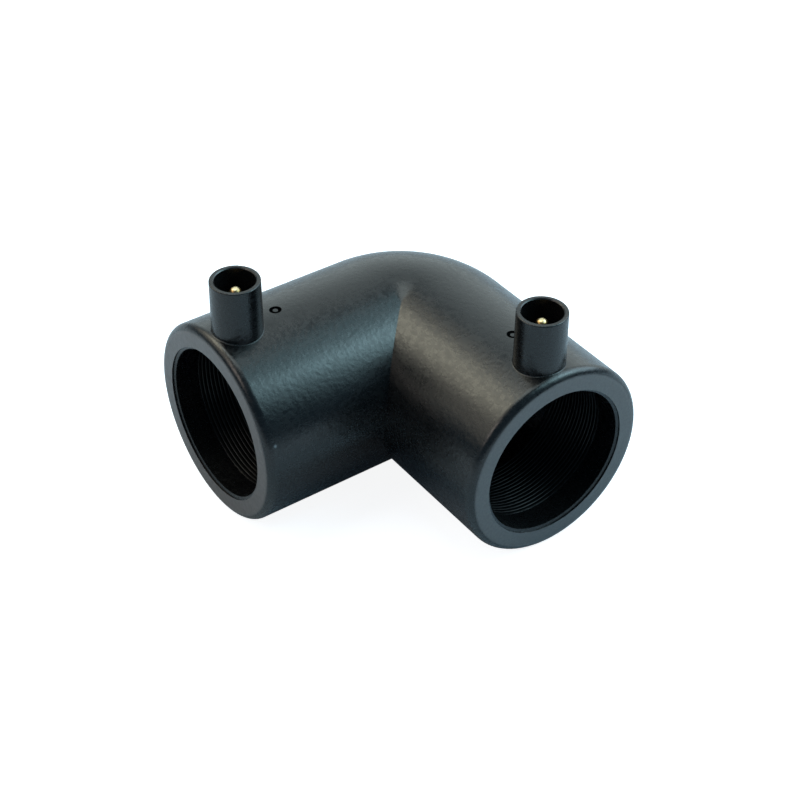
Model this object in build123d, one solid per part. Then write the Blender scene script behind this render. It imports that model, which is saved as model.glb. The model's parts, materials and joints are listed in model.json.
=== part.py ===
from build123d import *

import math
import os

# Electrofusion elbow of 90 degrees for 50 mm polyethylene pipe, in millimetres.
# It lies flat, as on a bench: socket a opens towards -Y, socket b towards +X,
# and the two terminals stand up along +Z.
# Shapes are made about the crossing of the socket axes and exported with the middle
# of the footprint at the origin.

# Sockets and bend
bore_diameter = 50.5  # inside diameter of the fusion zone
socket_wall = 8.25
insertion_depth = 47.5  # from the mouth to the pipe stop
corner_wall = 4.25  # plastic between the two bores at the inner corner
stop_height = 4.75  # step that the pipe's end meets
bend_radius = 14.3  # centre line of the bend, outside and in the waterway
lip_rounding = 2.8  # outer edge of each mouth
entry_step = 0.6  # depth of the shallow step just inside the mouth
entry_ledge = 0.9  # width of the ledge in that step
entry_slope = 0.35  # how far the ledge slopes in, as a lead-in for the pipe

# Heating wire: one coated wire, wound in both sockets and linked through the bend
wire_diameter = 1.4  # over the coating, and so the pitch of the winding too
turns = 16
cold_zone = 9.3  # from the mouth to the first turn
link_cover = 3.2  # plastic over the link where it crosses the bend
wire_bend = 2.5  # centre line radius where the wire turns up or along

# Terminals: a moulded shroud round a brass pin
terminal_bore = 13.0
terminal_wall = 1.5
terminal_height = 18.1  # rim above the top of the socket
terminal_depth = 13.6  # rim to the floor of the shroud
terminal_draft = 0.5  # degrees
terminal_blend = 0.3  # fillet round the foot of the shroud
rim_rounding = 0.4
rim_break = 0.3  # inner edge of the rim
floor_rounding = 0.8  # inner corner at the shroud's floor

# Brass pins, moulded in: a bare contact above the shroud's floor, an anchor below it
pin_diameter = 4.0
pin_recess = 3.0  # tip below the rim
pin_tip = 1.7  # rounding of the tip
anchor_diameter = 5.2
collar_diameter = 7.4
collar_height = 1.6
collar_cover = 1.6  # plastic between the shroud's floor and the collar
groove_depth = 0.4  # retaining groove under the collar
groove_width = 1.2
groove_drop = 1.0  # from the collar down to the groove
foot_cover = 1.3  # plastic between the winding and the pin's foot
wire_grip = 2.0  # how far the wire's end goes into the foot

# Fusion indicators: a short post in a round well, moulded with the body
indicator_place = 25.4  # from the mouth to the middle of the well
indicator_offset = 1.4  # from the socket's top line, away from the inner corner
indicator_well = 4.0  # diameter
indicator_post = 1.7  # diameter
indicator_depth = 3.0
indicator_sink = 0.25  # top of the post below the top of the socket

bore_radius = bore_diameter / 2
outer_radius = bore_radius + socket_wall
waterway_radius = bore_radius - stop_height
stop_plane = bore_radius + corner_wall
reach = stop_plane + insertion_depth
entry_radius = bore_radius + entry_ledge
wire_radius = wire_diameter / 2
winding_start = reach - cold_zone
winding_end = winding_start - turns * wire_diameter
winding_radius = bore_radius + wire_radius
link_height = outer_radius - link_cover - wire_radius
terminal_place = winding_start - wire_diameter
rim_height = outer_radius + terminal_height
floor_height = rim_height - terminal_depth
foot_height = bore_radius + wire_diameter + foot_cover

SIDES = {"a": Rot(0, 0, -90), "b": Rot(0, 0, 0)}
FOOTPRINT = Pos((outer_radius - reach) / 2, (reach - outer_radius) / 2, outer_radius)
UPWARDS = (Align.CENTER, Align.CENTER, Align.MIN)


def on_both_sides(make):
    """The shape that make() gives for socket b, and its copy on socket a."""
    shape = make()
    return [side * shape for side in SIDES.values()]


def rod(radius, start, end):
    """Round bar along +X between two distances from the crossing of the axes."""
    return Pos(start, 0, 0) * Rot(0, 90, 0) * Cylinder(radius, end - start, align=UPWARDS)


def bend(radius):
    """Round section turned through the bend, cut off where it would pass the bend's own axis."""
    kept = Pos(radius - bend_radius / 2, 0) * Rectangle(2 * radius + bend_radius, 3 * radius)
    section = Plane.YZ.offset(bend_radius) * (Circle(radius) & kept)
    turning = Axis((bend_radius, -bend_radius, 0), (0, 0, 1))
    return revolve(section, axis=turning, revolution_arc=90)


def socket_outside():
    bar = rod(outer_radius, bend_radius, reach)
    return fillet(bar.edges().sort_by(Axis.X)[-1:], lip_rounding)


def socket_inside():
    """Space of one socket: waterway, pipe bore, sloped ledge and the shallow step at the mouth."""
    lead_in = reach - entry_step - entry_slope
    cone = Cone(bore_radius, entry_radius, entry_slope, align=UPWARDS)
    return (
        rod(waterway_radius, bend_radius, stop_plane)
        + rod(bore_radius, stop_plane, lead_in)
        + Pos(lead_in, 0, 0) * Rot(0, 90, 0) * cone
        + rod(entry_radius, reach - entry_step, reach)
    )


def terminal_outside():
    foot = outer_radius - socket_wall / 2
    height = rim_height - foot
    rim_radius = terminal_bore / 2 + terminal_wall
    foot_radius = rim_radius + height * math.tan(math.radians(terminal_draft))
    shroud = Cone(foot_radius, rim_radius, height, align=UPWARDS)
    shroud = fillet(shroud.edges().sort_by(Axis.Z)[-1:], rim_rounding)
    # The cone's seam faces the bend, clear of the mouth's rounding, so that the blend can run right round.
    return Pos(terminal_place, 0, foot) * Rot(0, 0, 180) * shroud


def terminal_inside():
    hollow = Cylinder(terminal_bore / 2, terminal_depth, align=UPWARDS)
    hollow = fillet(hollow.edges().sort_by(Axis.Z)[:1], floor_rounding)
    edge = Cone(terminal_bore / 2, terminal_bore / 2 + rim_break, rim_break, align=UPWARDS)
    hollow += Pos(0, 0, terminal_depth - rim_break) * edge
    return Pos(terminal_place, 0, floor_height) * hollow


def indicator_space(offset):
    """Round well about a short post, offset from socket b's top line towards +Y.

    The cut runs up well past the socket's top.
    """
    well = Cylinder(indicator_well / 2, 2 * indicator_depth, align=UPWARDS)
    post = Cylinder(indicator_post / 2, indicator_depth - indicator_sink, align=UPWARDS)
    return Pos(reach - indicator_place, offset, outer_radius - indicator_depth) * (well - post)


def indicator_spaces():
    """The two wells, mirrored, so that both lie on the outer side of the bend."""
    on_a = SIDES["a"] * indicator_space(-indicator_offset)
    on_b = SIDES["b"] * indicator_space(indicator_offset)
    return [on_a, on_b]


def pin_blank():
    """Brass pin: a contact with a round tip, on an anchor whose collar and groove the plastic holds."""
    contact = Cylinder(pin_diameter / 2, rim_height - pin_recess - foot_height, align=UPWARDS)
    contact = fillet(contact.edges().sort_by(Axis.Z)[-1:], pin_tip)
    anchor = Cylinder(anchor_diameter / 2, floor_height - foot_height, align=UPWARDS)
    collar = Cylinder(collar_diameter / 2, collar_height, align=UPWARDS)
    ring = Circle(collar_diameter / 2) - Circle(anchor_diameter / 2 - groove_depth)
    groove = extrude(ring, groove_width)
    collar_base = floor_height - collar_cover - collar_height - foot_height
    pin = contact + anchor + Pos(0, 0, collar_base) * collar
    pin -= Pos(0, 0, collar_base - groove_drop - groove_width) * groove
    return Pos(terminal_place, 0, foot_height) * pin


def lead():
    """Straight end of the wire, from the first turn up into the pin's foot."""
    length = foot_height + wire_grip - winding_radius
    return Pos(terminal_place, 0, winding_radius) * Cylinder(wire_radius, length, align=UPWARDS)


def link():
    """Wire that rises from one winding's last turn, crosses the bend in its wall and comes down."""
    last_turn = winding_end + wire_radius
    route = FilletPolyline(
        (0, -last_turn, winding_radius),
        (0, -last_turn, link_height),
        (0, 0, link_height),
        (last_turn, 0, link_height),
        (last_turn, 0, winding_radius),
        radius=[wire_bend, bend_radius, wire_bend],
    )
    section = Plane(origin=route @ 0, z_dir=route % 0) * Circle(wire_radius)
    return sweep(section, path=route)


def joined(shapes):
    whole = shapes[0]
    for shape in shapes[1:]:
        whole += shape
    return whole


def blended_union(first, second, radius):
    """Two solids as one, with a fillet along the line where they meet."""
    whole = first + second
    return fillet(new_edges(first, second, combined=whole), radius)


def heating_wire_space():
    """The wire with its windings taken as solid bars, as it is cut out of the body."""
    windings = on_both_sides(lambda: rod(bore_radius + wire_diameter, winding_end, winding_start))
    return joined([*windings, *on_both_sides(lead), link()])


def heating_wire(space):
    hollow = on_both_sides(lambda: rod(bore_radius, stop_plane, reach))
    return space - hollow


def elbow_body(wire_space, pins):
    outside = joined([bend(outer_radius), *on_both_sides(socket_outside)])
    with_shrouds = outside
    for shroud in on_both_sides(terminal_outside):
        with_shrouds = blended_union(with_shrouds, shroud, terminal_blend)
    inside = [bend(waterway_radius), *on_both_sides(socket_inside), *on_both_sides(terminal_inside)]
    inside += indicator_spaces()
    return with_shrouds - inside - wire_space - pins


wire_space = heating_wire_space()
wire = heating_wire(wire_space)
blanks = on_both_sides(pin_blank)
body = elbow_body(wire_space, blanks)
pins = [blank - wire for blank in blanks]

nodes = {"elbow_body": body, "heating_wire": wire}
for side, pin in zip(SIDES, pins):
    nodes["terminal_pin_" + side] = pin

os.makedirs("parts", exist_ok=True)
for name, shape in nodes.items():
    export_step(FOOTPRINT * shape, "parts/" + name + ".step")
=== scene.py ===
import json
import math

import bpy
import numpy as np
from mathutils import Matrix, Vector


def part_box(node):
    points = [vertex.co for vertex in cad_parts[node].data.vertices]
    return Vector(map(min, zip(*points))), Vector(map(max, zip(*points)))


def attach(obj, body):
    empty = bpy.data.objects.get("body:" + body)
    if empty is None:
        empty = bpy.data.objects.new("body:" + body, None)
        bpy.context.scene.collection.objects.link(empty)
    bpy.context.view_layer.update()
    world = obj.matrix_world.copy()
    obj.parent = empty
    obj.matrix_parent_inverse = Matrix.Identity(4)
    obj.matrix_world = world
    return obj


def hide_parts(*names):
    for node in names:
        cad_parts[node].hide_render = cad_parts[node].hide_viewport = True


# Looks of the electrofusion elbow, in metres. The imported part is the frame. The heating wire,
# which the part keeps as two plain sleeves and a link, is wound here turn by turn.

# Camera, fitted to the object's outline in the photograph
PICTURE_SIDE = 800  # px
FOCAL_LENGTH = 1825.9  # px
CROSSING_PX = (410.4, 340.8)  # where the crossing of the socket axes shows
CAMERA_AZIMUTH = 53.80
CAMERA_ELEVATION = 36.77
CAMERA_ROLL = 0.68
CAMERA_DISTANCE = 0.616  # from the crossing of the socket axes
SENSOR_WIDTH = 36.0  # mm
CAMERA_CLIP = (0.01, 20.0)

# Heating wire
WIRE_DIAMETER = 0.0014
TURNS = 16
STEP_SHARE = 0.12  # share of a turn in which the wire steps over to the next one
LEAD_BEND = 0.0011  # centre line radius between a winding and its straight ends
LINK_BEND = 0.0025  # centre line radius where the link turns along the socket
BEND_RADIUS = 0.0143  # centre line of the elbow's bend
LINK_HEIGHT = 0.0296  # link's centre line above the socket axes
STEPS_PER_TURN = 96
LEAD_ARC_POINTS = 7
LINK_ARC_POINTS = 9
BEND_POINTS = 25
WIRE_SIDES = 24
WOUND_SQUARENESS = 5.0  # exponent of the coating's section where the turns press flat
SOCKET_AXES = {"a": (0.0, 1.0, 0.0), "b": (1.0, 0.0, 0.0)}

# Parts of a noise that a pattern runs through. Most of a noise lies between 0.3 and 0.7.
SOFT_SPAN = (0.3, 0.7)
CRISP_SPAN = (0.35, 0.65)
PATCHY_SPAN = (0.4, 0.7)
WORN_SPAN = (0.35, 0.6)
SCUFF_SPAN = (0.45, 0.7)

# Body's plastic. Colours are linear. Pattern sizes are in metres, and so is the first number of a
# relief, its depth. The second is its strength.
POLYETHYLENE_IOR = 1.51
MOULDED_BLACK = ((0.0022, 0.0025, 0.003), (0.0036, 0.0036, 0.0038))
WORN_COLOUR = (0.02, 0.021, 0.022)
WORN_WIDTH = 0.0006  # of the worn line along each edge
WORN_TURN = (0.995, 0.55)  # cosine between true and rounded normal, where wear starts and is full
WORN_SHARE = 0.5  # of the worn colour, where wear is full
BEVEL_SAMPLES = 6
SCRAPED_COLOUR = (0.118, 0.104, 0.101)
SCRAPED_SHARE = (0.72, 1.0)  # of that colour, in the black and the pale spots of the scraped faces
SCRAPED_DEPTH = (0.0002, 0.00002)  # behind a mouth's face, where the scraped look starts and is full
SCRAPED_ROUGHNESS = 0.08  # above the moulded surface's
CLOUD_SIZE = 0.022
CLOUD_ROUGHNESS = (0.24, 0.29)  # the others are added to it
MOTTLE_SIZE = 0.0017
MOTTLE_ROUGHNESS = (-0.06, 0.06)
SCUFF_SIZE = 0.004
SCUFF_ROUGHNESS = (0.0, 0.05)
SCUFF_STRETCH = (1.0, 1.0, 7.0)  # makes the scuffs flat and long
SCRAPE_SIZE = 0.0008
PEBBLE_SIZE = 0.0016
PEBBLE_RELIEF = (0.00009, 0.8)
GRAIN_SIZE = 0.0006
GRAIN_RELIEF = (0.00001, 0.5)

# Pale spot of colour on the flank of socket a that faces socket b
PALE_SPOT_COLOUR = (0.12, 0.13, 0.14)
PALE_SPOT_ANGLE = 19.0  # degrees above the level of the axis
PALE_SPOT_PLACE = 0.0035  # from the mouth
PALE_SPOT_RADIUS = 0.0007

# Wire's coating
COATING_IOR = 1.44
COATING_BLACK = ((0.002, 0.002, 0.0022), (0.0032, 0.0032, 0.0032))
COATING_ROUGHNESS = (0.28, 0.4)
COATING_MOTTLE_SIZE = 0.002
COATING_GRAIN_SIZE = 0.0003
COATING_GRAIN_RELIEF = (0.00001, 0.7)

# Brass of the pins
# Bright brass of the pin's tip, in patchy tones: a painted highlight
HIGHLIGHT_TIP_BRASS = ((0.92, 0.80, 0.52), (0.74, 0.56, 0.28))
# Brown of the pin's side: painted shade
SHADED_SIDE_BRASS = (0.30, 0.19, 0.08)
SIDE_SHADE_FROM = (0.0007, 0.0014)  # from the pin's axis, where the brown starts and is full
TARNISH_SIZE = 0.0011
TARNISH_ROUGHNESS = (0.2, 0.34)
RING_SIZE = 0.0009
RING_STRETCH = (0.05, 0.05, 6.0)  # makes the marks of the turning run round the pin
RING_ROUGHNESS = (0.0, 0.08)  # added to the tarnish's
RING_RELIEF = (0.00001, 0.6)

# Studio: warm softboxes on the left, cool ones on the right, one before the mouth of socket a, one
# overhead, and a bright backdrop behind the object. Azimuths are counted from +X to +Y, in degrees.
# A brightness of 1 shows as plain white.
FLOOR_RADIUS = 2.5
FLOOR_CORNERS = 24
FLOOR_COLOUR = (0.46, 0.53, 0.60)
FLOOR_ROUGHNESS = 0.9
FLOOR_GLOW = 0.90  # makes up the floor's white where the camera sees it
# Painted light: the floor glows for reflections only, more away from the object, so reflections see
# painted shade near it
FLOOR_REFLECTED_GLOW = (0.01, 0.17)  # the same where a reflection sees it, near the object and away from it
FLOOR_REFLECTED_GLOW_RISE = (0.10, 0.18)  # distances from the middle of the floor where that rise starts and ends
SOFTBOX_DISTANCE = 1.0
SOFTBOX_POWER = 4.0  # per area, in W/m2, of a lamp whose face shows as plain white
SOFTBOXES = {
    # name: azimuth, elevation, side, brightness, colour
    "warm_softbox": (209.0, 46.0, 0.38, 2.7, (1.03, 1.0, 0.79)),
    "large_warm_softbox": (215.0, 43.0, 0.95, 0.72, (1.10, 1.0, 0.80)),
    "cool_softbox": (54.0, 47.0, 0.42, 2.6, (0.61, 1.0, 1.10)),
    "large_cool_softbox": (58.0, 47.0, 0.95, 1.15, (0.61, 1.0, 1.10)),
    "low_cool_softbox": (77.0, 36.0, 0.75, 1.75, (0.77, 1.0, 1.16)),
    "front_softbox": (262.0, 38.0, 0.40, 1.95, (1.13, 1.0, 0.90)),
    "top_softbox": (174.0, 77.0, 0.60, 1.95, (0.89, 1.0, 0.98)),
}
BACKDROP = (133.0, 13.0)  # direction of its brightest part
BACKDROP_END = 0.55  # cosine of the angle from there at which it ends
BACKDROP_COLOUR = (1.17, 1.36, 1.38)
ROOM_COLOUR = (0.08, 0.15, 0.21)
WHITE = (1.0, 1.0, 1.0)


def smooth_step(value):
    """0 up to 0, 1 from 1 on, and a smooth rise between them."""
    clipped = np.clip(value, 0.0, 1.0)
    return clipped * clipped * (3 - 2 * clipped)


class Graph:
    """Adds nodes to the tree of a material or a world."""

    def __init__(self, tree):
        self.tree = tree

    def add(self, kind, **settings):
        node = self.tree.nodes.new(kind)
        for key, value in settings.items():
            setattr(node, key, value)
        return node

    def link(self, output, target):
        self.tree.links.new(output, target)

    def spread(self, value, low, high, to_low=0.0, to_high=1.0, **settings):
        """Maps low..high to to_low..to_high and clips outside."""
        node = self.add("ShaderNodeMapRange", **settings)
        ends = {"From Min": low, "From Max": high, "To Min": to_low, "To Max": to_high}
        for socket, number in ends.items():
            node.inputs[socket].default_value = number
        self.link(value, node.inputs["Value"])
        return node.outputs["Result"]

    def combine(self, operation, first, second):
        """Result of a math node for two values, each a number or an output."""
        node = self.add("ShaderNodeMath", operation=operation)
        for socket, value in zip(node.inputs, (first, second)):
            if isinstance(value, (int, float)):
                socket.default_value = value
            else:
                self.link(value, socket)
        return node.outputs["Value"]

    def mix(self, share, first, second):
        """Colour between two colours, by share."""
        node = self.add("ShaderNodeMix", data_type="RGBA")
        self.link(share, node.inputs["Factor"])
        for socket, colour in zip(node.inputs[6:8], (first, second)):
            if isinstance(colour, tuple):
                socket.default_value = (*colour, 1.0)
            else:
                self.link(colour, socket)
        return node.outputs[2]


class Shading(Graph):
    """A material whose patterns all sit on the object's own coordinates, in metres."""

    def __init__(self, name):
        self.material = bpy.data.materials.new(name)
        self.material.use_nodes = True
        super().__init__(self.material.node_tree)
        self.shader = self.tree.nodes["Principled BSDF"]
        self.place = self.add("ShaderNodeTexCoord").outputs["Object"]

    def set(self, socket, value):
        if isinstance(value, (int, float, tuple)):
            self.shader.inputs[socket].default_value = value
        else:
            self.link(value, self.shader.inputs[socket])

    def coordinate(self, name):
        """One of the object's coordinates: X, Y or Z."""
        split = self.add("ShaderNodeSeparateXYZ")
        self.link(self.place, split.inputs["Vector"])
        return split.outputs[name]

    def from_upright_line(self, x, y):
        """Distance from the vertical line through that place."""
        mapping = self.add("ShaderNodeMapping")
        mapping.inputs["Scale"].default_value = (1.0, 1.0, 0.0)
        mapping.inputs["Location"].default_value = (-x, -y, 0.0)
        self.link(self.place, mapping.inputs["Vector"])
        length = self.add("ShaderNodeVectorMath", operation="LENGTH")
        self.link(mapping.outputs["Vector"], length.inputs[0])
        return length.outputs["Value"]

    def near(self, point, radius):
        """1 within a third of the radius from that place, falling to 0 at the radius."""
        distance = self.add("ShaderNodeVectorMath", operation="DISTANCE")
        self.link(self.place, distance.inputs[0])
        distance.inputs[1].default_value = point
        return self.spread(distance.outputs["Value"], radius, radius / 3)

    def stretched(self, scale):
        """The object's coordinates, scaled by three numbers."""
        mapping = self.add("ShaderNodeMapping")
        mapping.inputs["Scale"].default_value = scale
        self.link(self.place, mapping.inputs["Vector"])
        return mapping.outputs["Vector"]

    def noise(self, size, detail=3.0, roughness=0.55, vector=None):
        """Noise from 0 to 1 with features of about that size in metres."""
        node = self.add("ShaderNodeTexNoise")
        node.inputs["Scale"].default_value = 1.0 / size
        node.inputs["Detail"].default_value = detail
        node.inputs["Roughness"].default_value = roughness
        self.link(vector or self.place, node.inputs["Vector"])
        return node.outputs["Fac"]

    def worn_edges(self):
        """1 on sharp edges, 0 on surfaces that are flat or gently round."""
        bevel = self.add("ShaderNodeBevel", samples=BEVEL_SAMPLES)
        bevel.inputs["Radius"].default_value = WORN_WIDTH
        geometry = self.add("ShaderNodeNewGeometry")
        dot = self.add("ShaderNodeVectorMath", operation="DOT_PRODUCT")
        self.link(bevel.outputs["Normal"], dot.inputs[0])
        self.link(geometry.outputs["Normal"], dot.inputs[1])
        return self.spread(dot.outputs["Value"], *WORN_TURN)

    def bump(self, height, depth, strength, below=None):
        """Relief of that depth in metres, on top of another bump if one is given."""
        node = self.add("ShaderNodeBump")
        node.inputs["Strength"].default_value = strength
        node.inputs["Distance"].default_value = depth
        self.link(height, node.inputs["Height"])
        if below:
            self.link(below, node.inputs["Normal"])
        return node.outputs["Normal"]


def black_polyethylene(mouth_x, mouth_y, pale_spot):
    """Injection moulded polyethylene: waxy black, finely grained, with dull and shiny patches.

    The flat faces of the two mouths are trimmed, and so are duller and greyer. A pale spot of colour
    marks one place.
    """
    look = Shading("black_polyethylene")
    cloud = look.noise(CLOUD_SIZE, detail=4.0)
    mottle = look.noise(MOTTLE_SIZE, detail=4.0, roughness=0.62)
    pebble = look.noise(PEBBLE_SIZE, detail=2.0, roughness=0.5)
    grain = look.noise(GRAIN_SIZE, detail=1.0)
    scrape = look.noise(SCRAPE_SIZE, detail=3.0, roughness=0.7)
    scuffs = look.noise(SCUFF_SIZE, detail=3.0, vector=look.stretched(SCUFF_STRETCH))
    worn = look.combine("MULTIPLY", look.worn_edges(), look.spread(mottle, *WORN_SPAN))
    start, full = SCRAPED_DEPTH
    on_face_a = look.spread(look.coordinate("Y"), mouth_y + start, mouth_y + full)
    on_face_b = look.spread(look.coordinate("X"), mouth_x - start, mouth_x - full)
    trimmed = look.combine("MAXIMUM", on_face_a, on_face_b)

    colour = look.mix(look.spread(cloud, *CRISP_SPAN), *MOULDED_BLACK)
    colour = look.mix(look.combine("MULTIPLY", worn, WORN_SHARE), colour, WORN_COLOUR)
    scraped = look.combine("MULTIPLY", trimmed, look.spread(scrape, *SOFT_SPAN, *SCRAPED_SHARE))
    colour = look.mix(scraped, colour, SCRAPED_COLOUR)
    colour = look.mix(look.near(pale_spot, PALE_SPOT_RADIUS), colour, PALE_SPOT_COLOUR)
    look.set("Base Color", colour)

    mottled = look.spread(mottle, *SOFT_SPAN, *MOTTLE_ROUGHNESS)
    gloss = look.combine("ADD", mottled, look.spread(scuffs, *SCUFF_SPAN, *SCUFF_ROUGHNESS))
    gloss = look.combine("ADD", gloss, look.spread(cloud, *SOFT_SPAN, *CLOUD_ROUGHNESS))
    gloss = look.combine("ADD", gloss, look.combine("MULTIPLY", trimmed, SCRAPED_ROUGHNESS))
    look.set("Roughness", gloss)
    look.set("IOR", POLYETHYLENE_IOR)

    relief = look.bump(pebble, *PEBBLE_RELIEF)
    relief = look.bump(grain, *GRAIN_RELIEF, below=relief)
    look.set("Normal", relief)
    return look.material


def wire_coating():
    """The wire's polyethylene coating: smoother than the body, with faint drawing marks."""
    look = Shading("wire_coating")
    mottle = look.noise(COATING_MOTTLE_SIZE, detail=4.0)
    grain = look.noise(COATING_GRAIN_SIZE, detail=2.0)
    look.set("Base Color", look.mix(look.spread(mottle, *CRISP_SPAN), *COATING_BLACK))
    look.set("Roughness", look.spread(mottle, *SOFT_SPAN, *COATING_ROUGHNESS))
    look.set("IOR", COATING_IOR)
    look.set("Normal", look.bump(grain, *COATING_GRAIN_RELIEF))
    return look.material


def turned_brass(pin_places):
    """Turned brass with fine rings round each pin: painted highlight on its tip, painted shade on its
    side.
    """
    look = Shading("turned_brass")
    rings = look.noise(RING_SIZE, detail=2.0, vector=look.stretched(RING_STRETCH))
    tarnish = look.noise(TARNISH_SIZE, detail=4.0)
    first, second = (look.from_upright_line(x, y) for x, y in pin_places)
    # Painted shade: the pin turns brown away from its axis, so only the tip keeps the bright brass as a
    # painted highlight
    side = look.spread(look.combine("MINIMUM", first, second), *SIDE_SHADE_FROM)
    highlight_tip = look.mix(look.spread(tarnish, *PATCHY_SPAN), *HIGHLIGHT_TIP_BRASS)
    look.set("Base Color", look.mix(side, highlight_tip, SHADED_SIDE_BRASS))
    look.set("Metallic", 1.0)
    tarnished = look.spread(tarnish, *PATCHY_SPAN, *TARNISH_ROUGHNESS)
    look.set("Roughness", look.combine("ADD", tarnished, look.spread(rings, *SOFT_SPAN, *RING_ROUGHNESS)))
    look.set("Normal", look.bump(rings, *RING_RELIEF))
    return look.material


def dress(node, material):
    """Gives a piece one material, in place of any that it has."""
    node.data.materials.clear()
    node.data.materials.append(material)


def lead_points(winding_radius, lead_place, lead_top, first_turn):
    """Straight end of the wire, down from the pin's foot, and the arc into the first turn."""
    down = [(lead_place, 0.0, lead_top)]
    arc = []
    for angle in np.linspace(0, math.pi / 2, LEAD_ARC_POINTS):
        along = lead_place + (first_turn - lead_place) * float(smooth_step(angle * 2 / math.pi))
        across = LEAD_BEND * (1 - math.cos(angle))
        up = winding_radius + LEAD_BEND * (1 - math.sin(angle))
        arc.append((along, across, up))
    return down + arc


def winding_points(winding_radius, first_turn):
    """Flat turns side by side, each with a short step over to the next near the top."""
    joining = math.asin(LEAD_BEND / winding_radius)
    angles = np.linspace(joining, 2 * math.pi * TURNS - joining, TURNS * STEPS_PER_TURN + 1)[1:-1]
    laps = np.floor(angles / (2 * math.pi))
    part = angles / (2 * math.pi) - laps
    steps = np.minimum(laps + smooth_step((part - 1 + STEP_SHARE) / STEP_SHARE), TURNS - 1)
    along = first_turn - WIRE_DIAMETER * steps
    return list(zip(along, winding_radius * np.sin(angles), winding_radius * np.cos(angles)))


def riser_points(winding_radius, last_turn):
    """From the last turn up to the link and along it to where the bend starts."""
    up_arc = []
    for angle in np.linspace(0, math.pi / 2, LEAD_ARC_POINTS):
        across = -LEAD_BEND * (1 - math.sin(angle))
        up_arc.append((last_turn, across, winding_radius + LEAD_BEND * (1 - math.cos(angle))))
    over_arc = []
    for angle in np.linspace(0, math.pi / 2, LINK_ARC_POINTS):
        along = last_turn - LINK_BEND * (1 - math.cos(angle))
        over_arc.append((along, 0.0, LINK_HEIGHT - LINK_BEND * (1 - math.sin(angle))))
    return up_arc + over_arc


def wire_path(crossing, winding_radius, winding_start, lead_place, lead_top):
    """Centre line of the whole wire, from the foot of pin a to the foot of pin b.

    Places are counted from the crossing of the socket axes, along a socket and up. Gives the
    path's points, and for each point the axis of the socket it is wound in, or no axis.
    """
    first_turn = winding_start - WIRE_DIAMETER / 2
    last_turn = first_turn - WIRE_DIAMETER * (TURNS - 1)
    lead = lead_points(winding_radius, lead_place, lead_top, first_turn)
    winding = winding_points(winding_radius, first_turn)
    riser = riser_points(winding_radius, last_turn)
    half = lead + winding + riser
    over = []
    for angle in np.linspace(0, math.pi / 2, BEND_POINTS):
        along = BEND_RADIUS * (1 - math.cos(angle))
        over.append((along, BEND_RADIUS * (math.sin(angle) - 1), LINK_HEIGHT))
    in_a = [(across, -along, up) for along, across, up in half]
    in_b = list(reversed(half))
    path = np.array(in_a + over + in_b) + np.array(crossing)
    wound_a = [None] * len(lead) + [SOCKET_AXES["a"]] * len(winding) + [None] * len(riser)
    wound_b = [None] * len(riser) + [SOCKET_AXES["b"]] * len(winding) + [None] * len(lead)
    return path, wound_a + [None] * len(over) + wound_b


def section(radius, sides, squareness=2.0):
    """Outline of the wire's section: a circle at squareness 2, and flatter sides above that."""
    outline = []
    for angle in np.linspace(0, 2 * math.pi, sides, endpoint=False):
        pair = (math.cos(angle), math.sin(angle))
        outline.append([radius * math.copysign(abs(part) ** (2 / squareness), part) for part in pair])
    return np.array(outline)


def coated_wire(name, path, wound, radius, sides):
    """Closed tube along a path, with frames carried along it without twist.

    Where the wire is wound, the frame keeps to the socket's axis and the section is flattened.
    """
    tangents = np.gradient(path, axis=0)
    tangents /= np.linalg.norm(tangents, axis=1)[:, None]
    normal = np.cross(tangents[0], (1.0, 0.0, 0.0))  # the wire starts upright
    round_section = section(radius, sides)
    flat_section = section(radius, sides, WOUND_SQUARENESS)
    rings = []
    for point, tangent, axis in zip(path, tangents, wound):
        outline = round_section
        if axis is not None:
            normal = np.array(axis) * math.copysign(1.0, normal @ axis)
            outline = flat_section
        normal = normal - tangent * (normal @ tangent)
        normal /= np.linalg.norm(normal)
        side = np.cross(tangent, normal)
        rings.append(point + np.outer(outline[:, 0], normal) + np.outer(outline[:, 1], side))
    vertices = np.concatenate(rings)
    faces = []
    for ring in range(len(path) - 1):
        low, high = ring * sides, (ring + 1) * sides
        for corner in range(sides):
            following = (corner + 1) % sides
            faces.append((low + corner, low + following, high + following, high + corner))
    last = (len(path) - 1) * sides
    faces.append(tuple(reversed(range(sides))))
    faces.append(tuple(last + corner for corner in range(sides)))
    mesh = bpy.data.meshes.new(name)
    mesh.from_pydata(vertices.tolist(), [], faces)
    mesh.shade_smooth()
    mesh.update()
    tube = bpy.data.objects.new(name, mesh)
    bpy.context.scene.collection.objects.link(tube)
    return tube


def white_floor():
    """Pale floor that shows white to the camera and keeps the object's soft shadow."""
    mesh = bpy.data.meshes.new("studio_floor")
    angles = np.linspace(0, 2 * math.pi, FLOOR_CORNERS, endpoint=False)
    corners = [(FLOOR_RADIUS * math.cos(turn), FLOOR_RADIUS * math.sin(turn), 0.0) for turn in angles]
    mesh.from_pydata(corners, [], [tuple(range(FLOOR_CORNERS))])
    floor = bpy.data.objects.new("studio_floor", mesh)
    bpy.context.scene.collection.objects.link(floor)
    look = Shading("studio_floor")
    look.set("Base Color", (*FLOOR_COLOUR, 1.0))
    look.set("Roughness", FLOOR_ROUGHNESS)
    look.set("Emission Color", (*WHITE, 1.0))
    rays = look.add("ShaderNodeLightPath")
    # Painted light seen only in reflections: the glow rises away from the object, with painted shade near
    # it
    glow_away = look.spread(look.from_upright_line(0.0, 0.0), *FLOOR_REFLECTED_GLOW_RISE, *FLOOR_REFLECTED_GLOW)
    reflected_glow = look.combine("MULTIPLY", rays.outputs["Is Glossy Ray"], glow_away)
    glow = look.combine("MULTIPLY", rays.outputs["Is Camera Ray"], FLOOR_GLOW)
    look.set("Emission Strength", look.combine("ADD", reflected_glow, glow))
    dress(floor, look.material)
    return floor


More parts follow.
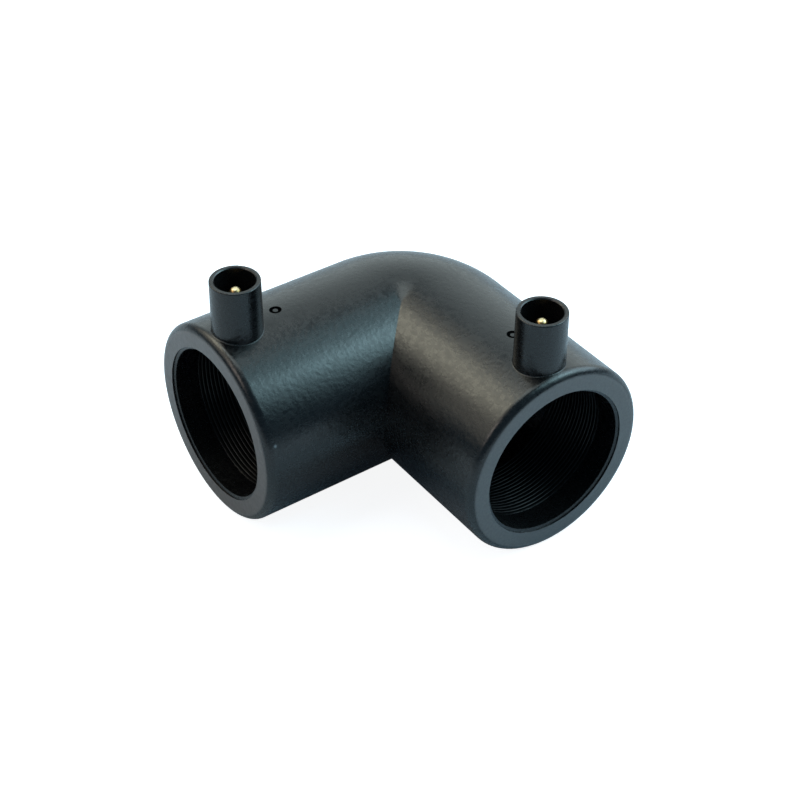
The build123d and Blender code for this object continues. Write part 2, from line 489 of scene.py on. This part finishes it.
def towards(azimuth, elevation):
    """Direction at an azimuth, counted from +X to +Y, and an elevation, both in degrees."""
    turn, rise = math.radians(azimuth), math.radians(elevation)
    flat = math.cos(rise)
    return Vector((math.cos(turn) * flat, math.sin(turn) * flat, math.sin(rise)))


def softbox(name, azimuth, elevation, side, brightness, colour):
    """Square soft lamp that faces the object."""
    direction = towards(azimuth, elevation)
    data = bpy.data.lights.new(name, "AREA")
    data.shape = "SQUARE"
    data.size = side
    data.energy = SOFTBOX_POWER * brightness * side * side
    data.color = colour
    lamp = bpy.data.objects.new(name, data)
    lamp.location = direction * SOFTBOX_DISTANCE
    lamp.rotation_euler = direction.to_track_quat("Z", "Y").to_euler()
    bpy.context.scene.collection.objects.link(lamp)


def studio_world():
    """White to the camera. To everything else a dim room with a bright backdrop behind the object."""
    world = bpy.data.worlds.new("studio")
    bpy.context.scene.world = world
    world.use_nodes = True
    graph = Graph(world.node_tree)
    direction = graph.add("ShaderNodeTexCoord").outputs["Generated"]
    dot = graph.add("ShaderNodeVectorMath", operation="DOT_PRODUCT")
    graph.link(direction, dot.inputs[0])
    dot.inputs[1].default_value = towards(*BACKDROP)
    share = graph.spread(dot.outputs["Value"], BACKDROP_END, 1.0, interpolation_type="SMOOTHSTEP")
    room = graph.mix(share, ROOM_COLOUR, BACKDROP_COLOUR)
    rays = graph.add("ShaderNodeLightPath")
    seen = graph.mix(rays.outputs["Is Camera Ray"], room, WHITE)
    background = world.node_tree.nodes["Background"]
    background.inputs["Strength"].default_value = 1.0
    graph.link(seen, background.inputs["Color"])


def photo_camera(crossing):
    """Camera whose view shows the crossing of the socket axes where the photograph shows it."""
    angles = (CAMERA_AZIMUTH, CAMERA_ELEVATION, CAMERA_ROLL)
    azimuth, elevation, roll = (math.radians(angle) for angle in angles)
    flat = math.cos(elevation)
    back = Vector((math.sin(azimuth) * flat, -math.cos(azimuth) * flat, math.sin(elevation)))
    level = Vector((math.cos(azimuth), math.sin(azimuth), 0.0))
    upright = back.cross(level)
    right = level * math.cos(roll) + upright * math.sin(roll)
    up = upright * math.cos(roll) - level * math.sin(roll)
    data = bpy.data.cameras.new("photo_camera")
    data.sensor_width = SENSOR_WIDTH
    data.lens = FOCAL_LENGTH / PICTURE_SIDE * SENSOR_WIDTH
    data.shift_x = 0.5 - CROSSING_PX[0] / PICTURE_SIDE
    data.shift_y = CROSSING_PX[1] / PICTURE_SIDE - 0.5
    data.clip_start, data.clip_end = CAMERA_CLIP
    camera = bpy.data.objects.new("photo_camera", data)
    axes = Matrix((right, up, back)).transposed().to_4x4()
    camera.matrix_world = Matrix.Translation(crossing + back * CAMERA_DISTANCE) @ axes
    bpy.context.scene.collection.objects.link(camera)
    bpy.context.scene.camera = camera


def pale_spot_place(crossing, mouth_y):
    """Place of the pale spot on socket a, whose outside touches the floor that it lies on."""
    outer_radius = crossing.z
    flank = math.radians(PALE_SPOT_ANGLE)
    level = crossing.x + outer_radius * math.cos(flank)
    height = crossing.z + outer_radius * math.sin(flank)
    return (level, mouth_y + PALE_SPOT_PLACE, height)


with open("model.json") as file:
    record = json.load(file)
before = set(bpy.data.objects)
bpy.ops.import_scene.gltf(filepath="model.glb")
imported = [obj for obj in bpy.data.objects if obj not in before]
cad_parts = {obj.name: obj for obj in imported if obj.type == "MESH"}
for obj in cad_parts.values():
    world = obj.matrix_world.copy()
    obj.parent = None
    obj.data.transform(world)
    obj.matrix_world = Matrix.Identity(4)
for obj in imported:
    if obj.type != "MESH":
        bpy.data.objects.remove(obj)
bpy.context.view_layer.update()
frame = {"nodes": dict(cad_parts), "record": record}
nodes = frame["nodes"]
mounts = {mount["name"]: mount for mount in frame["record"]["mounts"]}
mouth_a = mounts["socket_a"]["pos_m"]
mouth_b = mounts["socket_b"]["pos_m"]
crossing = Vector((mouth_a[0], mouth_b[1], mouth_b[2]))
winding_radius = mounts["socket_b"]["dims"]["r_mm"] / 1000 + WIRE_DIAMETER / 2
wire_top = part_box("heating_wire")[1]

photo_camera(crossing)

body_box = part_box("elbow_body")
pale_spot = pale_spot_place(crossing, body_box[0].y)
body_material = black_polyethylene(body_box[1].x, body_box[0].y, pale_spot)
pin_material = turned_brass([mounts[name]["pos_m"][:2] for name in ("terminal_a", "terminal_b")])
dress(nodes["elbow_body"], body_material)
for name in ("terminal_pin_a", "terminal_pin_b"):
    dress(nodes[name], pin_material)

path, wound = wire_path(
    crossing,
    winding_radius,
    winding_start=wire_top.x - crossing.x,
    lead_place=mounts["terminal_b"]["pos_m"][0] - crossing.x,
    lead_top=wire_top.z - crossing.z,
)
wire = coated_wire("wound_heating_wire", path, wound, WIRE_DIAMETER / 2, WIRE_SIDES)
dress(wire, wire_coating())
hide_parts("heating_wire")
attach(wire, "root")

white_floor()
studio_world()
for name, settings in SOFTBOXES.items():
    softbox(name, *settings)
bpy.context.scene.view_settings.view_transform = "Standard"
